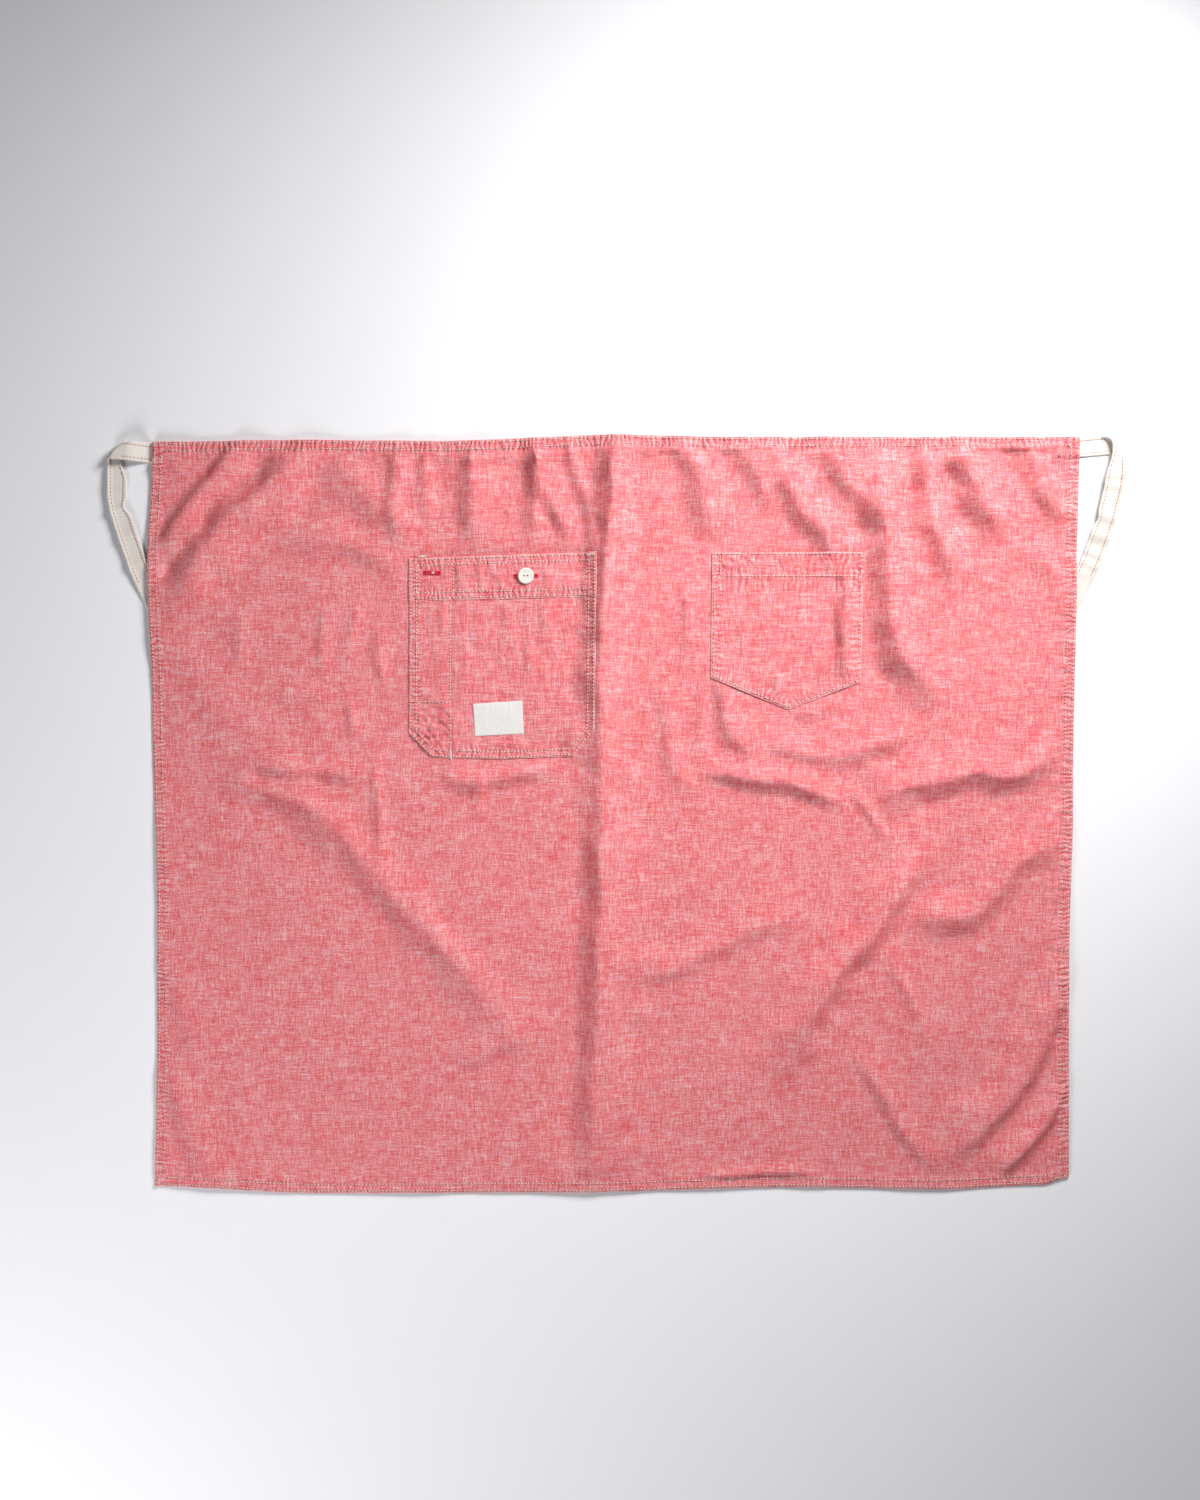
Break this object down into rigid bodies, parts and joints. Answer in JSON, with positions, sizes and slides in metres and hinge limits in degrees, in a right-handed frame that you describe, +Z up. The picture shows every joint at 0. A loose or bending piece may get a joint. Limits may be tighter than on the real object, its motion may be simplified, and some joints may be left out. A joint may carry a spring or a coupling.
{
  "type": "long waist apron",
  "caption": "Long waist apron of woven cotton, lying flat, with hemmed edges, a buttoned work pocket, a pointed patch pocket and tape ties.",
  "frame": {"origin": "on the floor, under the middle of the lying apron's outline, ties included", "axes": "+X along the waist towards the patch pocket, +Y from the lower hem to the waist, +Z up from the floor through the apron's front"},
  "size_m": [0.9878, 0.737, 0.013],
  "materials": {
    "chambray": "matte slubby weave of red and white yarn",
    "cotton_tape": "matte natural cotton",
    "label_cloth": "fine matte woven label",
    "button_shell": "soft gloss, off-white shell look"
  },
  "bodies": {
    "root": {"apron_panel": "chambray", "work_pocket": "chambray", "work_pocket_band": "chambray", "patch_pocket": "chambray", "label": "label_cloth", "button": "button_shell", "waist_tie_left": "cotton_tape", "waist_tie_right": "cotton_tape"}
  },
  "joints": []
}
